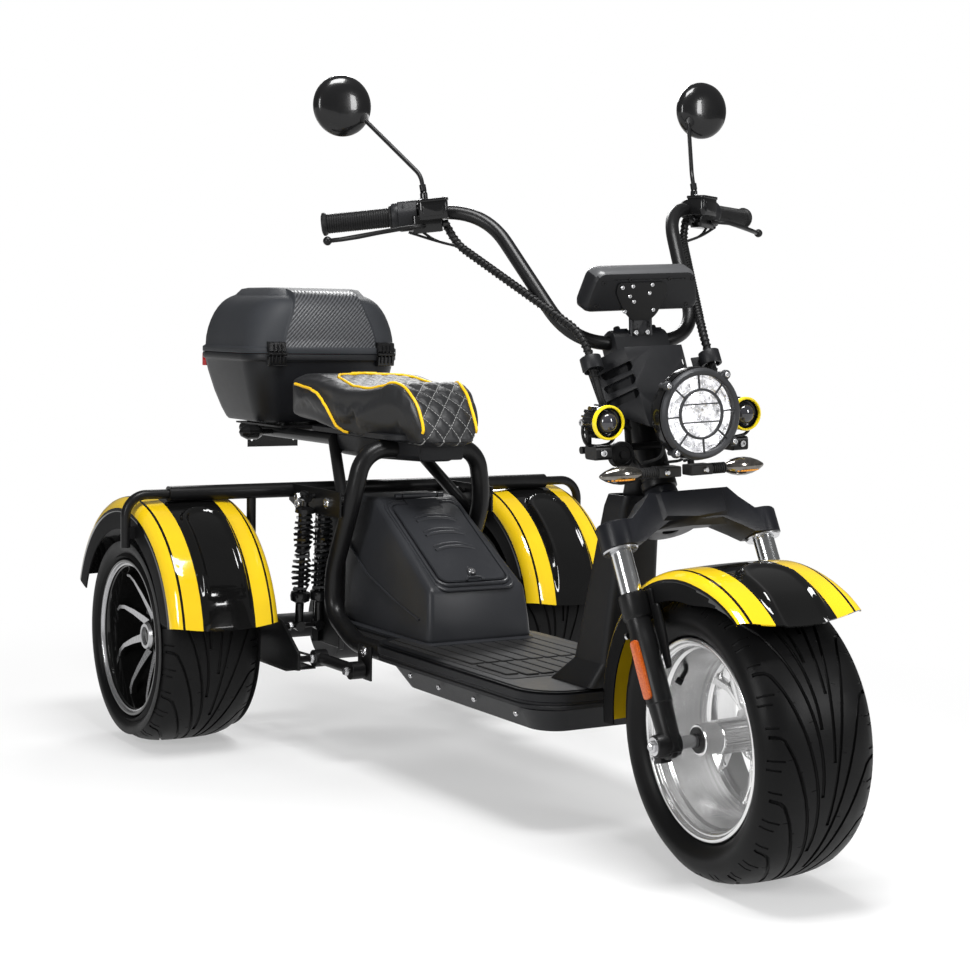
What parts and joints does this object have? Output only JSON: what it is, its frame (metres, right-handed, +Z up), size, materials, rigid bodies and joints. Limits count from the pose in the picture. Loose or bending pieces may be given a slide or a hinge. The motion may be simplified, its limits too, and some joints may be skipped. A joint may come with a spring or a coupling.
{
  "type": "electric tricycle",
  "caption": "Sit-on electric tricycle with one steered wheel in front, two driven wheels behind, a low floor, a high bar, fenders, a seat and a lidded top box.",
  "frame": {"origin": "on the floor, under the middle of the whole vehicle", "axes": "+X forward, +Y to the rider's left, +Z up"},
  "size_m": [2.0997, 1.136, 1.3783],
  "materials": {
    "frame_black": "gloss",
    "motor_black": "satin",
    "spring_black": "gloss",
    "moulded_plastic": "matte",
    "mat_rubber": "matte",
    "battery_case": "matte",
    "box_plastic": "satin",
    "lamp_black": "gloss",
    "seat_leather": "satin",
    "fender_paint": "gloss",
    "crown_grey": "satin",
    "fork_chrome": "polished",
    "slider_black": "gloss",
    "lens_clear": "clear",
    "tyre_rubber": "matte",
    "rim_polished": "polished",
    "rim_black": "gloss",
    "disc_steel": "brushed"
  },
  "bodies": {
    "vehicle": {"frame_hoop_left": "frame_black", "frame_hoop_right": "frame_black", "floor_frame": "frame_black", "neck_frame": "frame_black", "rear_rail": "frame_black", "rear_axle": "motor_black", "axle_carriers": "frame_black", "radius_arms": "frame_black", "arm_brackets": "frame_black", "rear_shocks": "spring_black", "footboard": "moulded_plastic", "floor_mat": "mat_rubber", "belly_tray": "moulded_plastic", "neck_cover": "moulded_plastic", "pedestal_box": "moulded_plastic", "battery": "battery_case", "box_rack": "frame_black", "rear_lamps": "lamp_black", "top_box_base": "box_plastic", "seat_pan": "moulded_plastic", "seat": "seat_leather", "rear_fender_left": "fender_paint", "rear_fender_right": "fender_paint"},
    "steering": {"fork_crown": "crown_grey", "fork_stanchions": "fork_chrome", "fork_sliders": "slider_black", "front_fender": "fender_paint", "top_yoke": "crown_grey", "handlebar": "frame_black", "grips": "mat_rubber", "brake_levers": "crown_grey", "switch_pods": "moulded_plastic", "mirrors": "lamp_black", "dash": "moulded_plastic", "fairing": "moulded_plastic", "headlight": "moulded_plastic", "headlight_lens": "lens_clear", "headlight_guard": "lamp_black", "fog_lights": "moulded_plastic", "front_indicators": "lamp_black", "cable_looms": "mat_rubber"},
    "front_wheel": {"front_tyre": "tyre_rubber", "front_wheel_rim": "rim_polished", "front_brake_disc": "disc_steel"},
    "rear_wheel_left": {"rear_tyre_left": "tyre_rubber", "rear_wheel_rim_left": "rim_black", "rear_brake_disc_left": "disc_steel"},
    "rear_wheel_right": {"rear_tyre_right": "tyre_rubber", "rear_wheel_rim_right": "rim_black", "rear_brake_disc_right": "disc_steel"},
    "box_lid": {"top_box_lid": "box_plastic"},
    "battery_lid": {"pedestal_lid": "moulded_plastic"}
  },
  "joints": [
    {"name": "steering_turn", "type": "hinge", "parent": "vehicle", "child": "steering", "pos_m": [0.75, 0, 0.238], "axis": [-0.454, 0, 0.891], "range_deg": [-30, 42]},
    {"name": "front_wheel_spin", "type": "hinge", "parent": "steering", "child": "front_wheel", "pos_m": [0.80974, -0.00559, 0.23787], "axis": [0.0931, 0.9945, 0.0475], "continuous": true},
    {"name": "rear_left_spin", "type": "hinge", "parent": "vehicle", "child": "rear_wheel_left", "pos_m": [-0.61, 0.42, 0.223], "axis": [0, 1, 0], "continuous": true},
    {"name": "rear_right_spin", "type": "hinge", "parent": "vehicle", "child": "rear_wheel_right", "pos_m": [-0.61, -0.42, 0.223], "axis": [0, 1, 0], "continuous": true},
    {"name": "box_lid_turn", "type": "hinge", "parent": "vehicle", "child": "box_lid", "pos_m": [-0.702, 0, 0.82], "axis": [0, 1, 0], "range_deg": [0, 75]},
    {"name": "battery_lid_turn", "type": "hinge", "parent": "vehicle", "child": "battery_lid", "pos_m": [-0.29488, 0, 0.53349], "axis": [0, -1, 0], "range_deg": [0, 50]}
  ]
}
